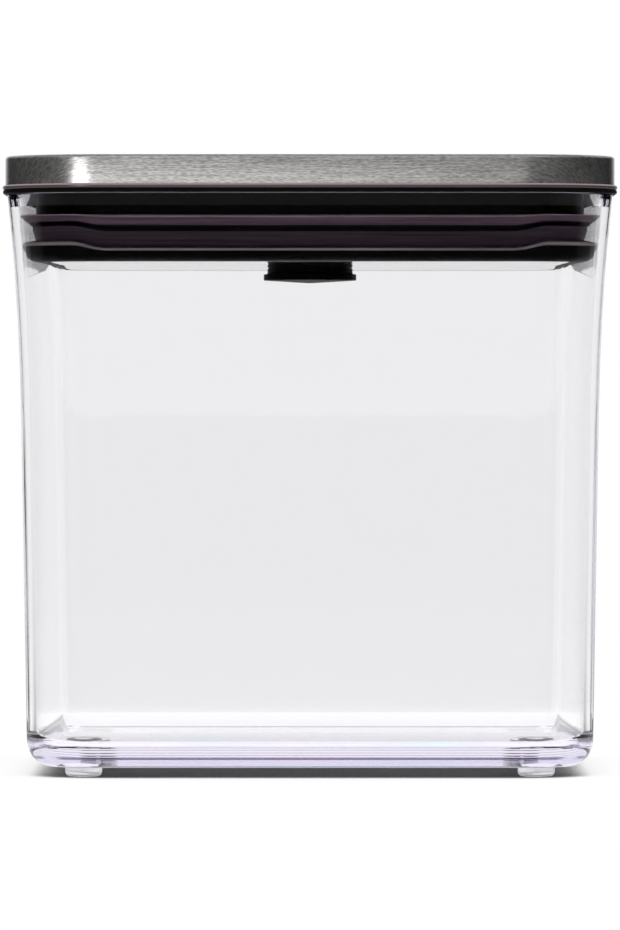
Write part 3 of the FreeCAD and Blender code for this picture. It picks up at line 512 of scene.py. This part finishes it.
def shape_steel_lid(shape):
    """A skirt with a rounded top edge, a plate, and a round hole with its edge turned down."""
    half, top = COVER_HIGH.x, COVER_HIGH.z
    under = top - LID_SHEET
    swept_square(
        shape,
        (
            (half, COVER_LOW.z, LID_EDGE),
            (half, top, LID_ROUND),
            (PLATE_SQUARE, top, 0),
            (PLATE_SQUARE, under, 0),
            (half - LID_SHEET, under, LID_ROUND - LID_SHEET),
            (half - LID_SHEET, COVER_LOW.z, LID_EDGE),
        ),
        LID_CORNER_STEPS,
    )
    bmesh.ops.remove_doubles(shape, verts=shape.verts, dist=MERGE_DISTANCE)
    skirt = set(shape.verts)
    collar = outline(
        shape,
        (
            (HOLE_RADIUS, top - HOLE_FLANGE, LID_EDGE),
            (HOLE_RADIUS, top, HOLE_BEND),
            (PLATE_ROUND, top, 0),
            (PLATE_ROUND, under, 0),
            (HOLE_RADIUS + LID_SHEET, under, HOLE_BEND - LID_SHEET),
            (HOLE_RADIUS + LID_SHEET, top - HOLE_FLANGE, LID_EDGE),
        ),
        0,
    )
    bmesh.ops.spin(
        shape,
        geom=collar,
        cent=(0, 0, 0),
        axis=(0, 0, 1),
        angle=math.tau,
        steps=4 * (STRAIGHT_STEPS + LID_CORNER_STEPS),
        use_merge=True,
        use_duplicate=False,
    )

    def is_end(face):
        """Whether a face closes the skirt or the collar where the plate goes on."""
        if face.verts[0] in skirt:
            reach = max(max(abs(vert.co.x), abs(vert.co.y)) for vert in face.verts)
            return reach < PLATE_SQUARE + END_MARGIN
        return min(vert.co.xy.length for vert in face.verts) > PLATE_ROUND - END_MARGIN

    ends = [face for face in shape.faces if is_end(face)]
    bmesh.ops.delete(shape, geom=ends, context="FACES")
    rims = [painted_highlight for painted_highlight in shape.edges if painted_highlight.is_boundary]
    middle = top - LID_SHEET / 2
    for upper in (True, False):
        level = [painted_highlight for painted_highlight in rims if (painted_highlight.verts[0].co.z > middle) is upper]
        bmesh.ops.triangle_fill(shape, use_beauty=True, edges=level, normal=(0, 0, 1))


steel_lid = new_piece("steel_lid", shape_steel_lid, "brushed_steel")
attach(steel_lid, "lid")
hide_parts("steel_cover")


# Gasket

GASKET_SEAT = 70.35 * MM
GASKET_LIP = 68.55 * MM
SKIRT_END = 5.95 * MM
LOWER_LIP_SET = 0.75 * MM
LIP_HEIGHT = 5.0 * MM
LIP_DROOP = 1.7 * MM
DROOP_SPAN = (61.5 * MM, 53.0 * MM)
DROOP_FADE = 0.8
GASKET_CORNER_STEPS = 20


def smooth(low, high, number):
    """0 at low, 1 at high, and a smooth rise between them."""
    share = min(max((number - low) / (high - low), 0), 1)
    return share * share * (3 - 2 * share)


def shape_gasket(shape):
    """A fin over a groove, a waist and a lip, whose outside droops along the straight sides."""
    low, high, tip = GASKET_LOW.z, GASKET_HIGH.z, GASKET_HIGH.x
    lip = tip - LOWER_LIP_SET
    rises = shape.verts.layers.float.new("rise")
    swept_square(
        shape,
        (
            (GASKET_LIP, low, 0.3 * MM),
            (lip - 1.2 * MM, low, 2.6 * MM),
            (lip, low + 3.9 * MM, 0.4 * MM),
            (lip, low + LIP_HEIGHT, 0.35 * MM),
            (GASKET_SEAT + 0.65 * MM, low + 5.75 * MM, 0.2 * MM),
            (GASKET_SEAT + 1.85 * MM, high - 2.9 * MM, 0.15 * MM),
            (GASKET_SEAT + 0.85 * MM, high - 2.3 * MM, 0.1 * MM),
            (GASKET_SEAT + 2.15 * MM, high - 1.85 * MM, 0.15 * MM),
            (tip, high - 0.3 * MM, 0.1 * MM),
            (tip, high, 0.15 * MM),
            (GASKET_SEAT, high, 0),
            (GASKET_SEAT, low + SKIRT_END, 0),
            (GASKET_LIP, low + SKIRT_END, 0),
        ),
        GASKET_CORNER_STEPS,
    )
    for vert in shape.verts:
        rise = vert.co.z - low
        vert[rises] = rise / (high - low)
        if max(abs(vert.co.x), abs(vert.co.y)) < GASKET_SEAT:
            continue
        along = smooth(*DROOP_SPAN, min(abs(vert.co.x), abs(vert.co.y)))
        if rise < LIP_HEIGHT:
            share = rise / LIP_HEIGHT
        else:
            share = 1 - DROOP_FADE * ((rise - LIP_HEIGHT) / (high - low - LIP_HEIGHT)) ** 3
        vert.co.z -= LIP_DROOP * along * share


gasket = new_piece("seal_gasket", shape_gasket, "black_silicone")
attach(gasket, "lid")
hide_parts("gasket")


# Return spring

SPRING_WIRE = 0.6 * MM
SPRING_TURNS = 5
SPRING_STEPS = 48
WIRE_SIDES = 16


def shape_spring(shape):
    """Turns of round wire, closed at both ends."""
    radius = SPRING_HIGH.x - SPRING_WIRE
    rise = SPRING_HIGH.z - SPRING_LOW.z - 2 * SPRING_WIRE
    start = Vector((radius, 0, SPRING_LOW.z + SPRING_WIRE))
    turned = Matrix.Translation(start) @ Matrix.Rotation(math.pi / 2, 4, "X")
    ring = bmesh.ops.create_circle(
        shape,
        cap_ends=True,
        segments=WIRE_SIDES,
        radius=SPRING_WIRE,
        matrix=turned,
    )
    steps = SPRING_TURNS * SPRING_STEPS
    bmesh.ops.spin(
        shape,
        geom=list({face for vert in ring["verts"] for face in vert.link_faces}),
        cent=(0, 0, 0),
        axis=(0, 0, 1),
        dvec=(0, 0, rise / steps),
        angle=SPRING_TURNS * math.tau,
        steps=steps,
        use_merge=False,
        use_duplicate=False,
    )


spring = new_piece("lift_spring", shape_spring, "spring_steel")
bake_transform(spring)
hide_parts("return_spring")


# Stage

STUDIO_GREY = 0.03
CEILING_LEVEL = 0.75
SIDE_LEVEL = 0.25
FLOOR_SIDE_LEVEL = 0.08
FLOOR_GLOW = 0.86
SHADE_THROUGH = 0.3
FLOOR_GREY = (0.18, 0.18, 0.18)
FLOOR_HALF = 200.0
SHADOW_REACH = 15 * MM
UNDER_TUB = (TUB_FOOT_HALF, TUB_FOOT_HALF + 8 * MM)
FRONT_FLOOR = (-0.2, -0.1)
FAR_FLOOR = (0.25, 0.5)
DIM_GROUND = (0.1, 0.2)
DARK_GROUND = (0.6, 1.0)
GROUND_LEVEL = 0.35
WHITE_WALL = (0.85, 0.995)
BEHIND = (0.2, 0.8)
BESIDE = (-0.5, -0.1)
LAMP_AWAY = 0.68
LAMP_LOW = 0.02
LAMP_HIGH = 0.158


def ray_kinds(finish):
    """Shares of rays: straight to the eye, through clear plastic, turned inside it, and mirrored."""
    rays = finish.node("LightPath").socket.node.outputs
    camera, glossy, through, mirrored, spread = (
        Value(finish, rays[name])
        for name in (
            "Is Camera Ray",
            "Is Glossy Ray",
            "Is Transmission Ray",
            "Glossy Depth",
            "Diffuse Depth",
        )
    )
    clean = through * spread.maths("LESS_THAN", 0.5)
    turned = mirrored.maths("GREATER_THAN", 0.5)
    return camera, clean * (1 - turned), clean * turned, glossy * (1 - through)


def world_light():
    """White, but for gloss and for rays turned inside clear plastic.

    Gloss mirrors a dark studio with a white wall behind and a soft ceiling. Rays turned inside the plastic
    find white behind and grey at the sides.
    """
    world = bpy.data.worlds.new("studio")
    bpy.context.scene.world = world
    world.cycles.sampling_method = "NONE"
    finish = Finish("studio", world)
    across, depth, up = finish.split(finish.node("TexCoord", output="Generated"))
    front_and_back = depth.maths("ABSOLUTE").step(0.3, 0.8) * 0.6 + 0.4
    ceiling = up.step(0.15, 0.6) * front_and_back * CEILING_LEVEL
    dark = STUDIO_GREY - across * 0.02
    studio = (depth.step(*WHITE_WALL) + ceiling + dark).maths("MINIMUM", 1.0)
    behind = depth.step(*BEHIND).maths("MAXIMUM", SIDE_LEVEL * depth.step(*BESIDE))
    _, _, turned, gloss = ray_kinds(finish)
    background = finish.tree.nodes["Background"]
    finish.feed(background.inputs["Color"], 1 - turned * (1 - behind) - gloss * (1 - studio))
    finish.feed(background.inputs["Strength"], 1.0)


def floor_finish():
    """White floor that glows for the eye, with a painted contact shadow where something stands close above
    it.

    Gloss mirrors it bright near the tub and behind, and dark far off. Rays turned inside clear plastic find
    it white under the tub and behind, and dark in front.
    """
    finish = Finish("floor")
    finish.holder.cycles.emission_sampling = "NONE"
    x, y, _ = finish.axes()
    radius = (x * x + y * y).maths("SQRT")
    far = radius.step(*FAR_FLOOR)
    ahead = y / radius
    dimmed = radius.step(*DIM_GROUND) * (1 - GROUND_LEVEL) + radius.step(*DARK_GROUND) * GROUND_LEVEL
    ground = (1 - dimmed).maths("MAXIMUM", ahead.step(*WHITE_WALL))
    open_above = finish.node("AmbientOcclusion", {"samples": 8}, {"Distance": SHADOW_REACH}, output="AO")
    shade = 1 - open_above.step(0.15, 0.6) * FLOOR_GLOW
    beyond = ahead.step(*BEHIND).maths("MAXIMUM", FLOOR_SIDE_LEVEL)
    under = 1 - x.maths("ABSOLUTE").maths("MAXIMUM", 0 - y).step(*UNDER_TUB)
    behind = (y.step(*FRONT_FLOOR) * beyond).maths("MAXIMUM", under)
    camera, clear, turned, gloss = ray_kinds(finish)
    seen = camera * (1 - far) + clear * SHADE_THROUGH
    shown = 1 - seen * shade - turned * (1 - behind) - gloss * (1 - ground)
    finish.set(
        Base_Color=finish.mixed(far, FLOOR_GREY, (0.0, 0.0, 0.0)),
        Roughness=0.9,
        Specular_IOR_Level=0.0,
        Emission_Color=shown,
        Emission_Strength=1.0,
    )
    return finish.holder


def make_floor():
    """A wide plain floor."""
    shape = bmesh.new()
    bmesh.ops.create_grid(shape, x_segments=1, y_segments=1, size=FLOOR_HALF)
    mesh = bpy.data.meshes.new("floor")
    shape.to_mesh(mesh)
    shape.free()
    mesh.materials.append(floor_finish())
    floor = bpy.data.objects.new("floor", mesh)
    bpy.context.scene.collection.objects.link(floor)


def softbox(name, left, right, power):
    """A rectangular lamp in front of the lid, below its top, that lights the lid's outside alone."""
    lamp = bpy.data.lights.new(name, "AREA")
    lamp.shape = "RECTANGLE"
    lamp.size = right - left
    lamp.size_y = LAMP_HIGH - LAMP_LOW
    lamp.energy = power
    holder = bpy.data.objects.new(name, lamp)
    holder.location = ((left + right) / 2, -LAMP_AWAY, (LAMP_LOW + LAMP_HIGH) / 2)
    holder.rotation_euler = (math.pi / 2, 0, 0)
    holder.visible_camera = False
    holder.visible_transmission = False
    lit = bpy.data.collections.new(name)
    for piece in (steel_lid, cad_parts["top_frame"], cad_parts["button_cap"]):
        lit.objects.link(piece)
    holder.light_linking.receiver_collection = lit
    bpy.context.scene.collection.objects.link(holder)


world_light()
make_floor()
softbox("strip_left", left=-0.375, right=-0.205, power=0.95)
softbox("front_panel", left=-0.20, right=0.06, power=0.22)


# Camera

FRAME_HIGH = 930
CAMERA_PLACE = (0, -2.18, 0.0946)
HORIZON_ROW = 412
FOCAL_LENGTH = 316
SENSOR_WIDTH = 36
camera_lens = bpy.data.cameras.new("camera")
camera_lens.lens = FOCAL_LENGTH
camera_lens.sensor_width = SENSOR_WIDTH
camera_lens.shift_y = (HORIZON_ROW - FRAME_HIGH / 2) / FRAME_HIGH
camera = bpy.data.objects.new("camera", camera_lens)
camera.location = CAMERA_PLACE
camera.rotation_euler = (math.pi / 2, 0, 0)
bpy.context.scene.collection.objects.link(camera)
bpy.context.scene.camera = camera
bpy.context.scene.view_settings.view_transform = "Standard"

# Enough bounces for light that runs along inside the clear walls and base
cycles = bpy.context.scene.cycles
cycles.max_bounces = 64
cycles.glossy_bounces = 60
cycles.transmission_bounces = 64
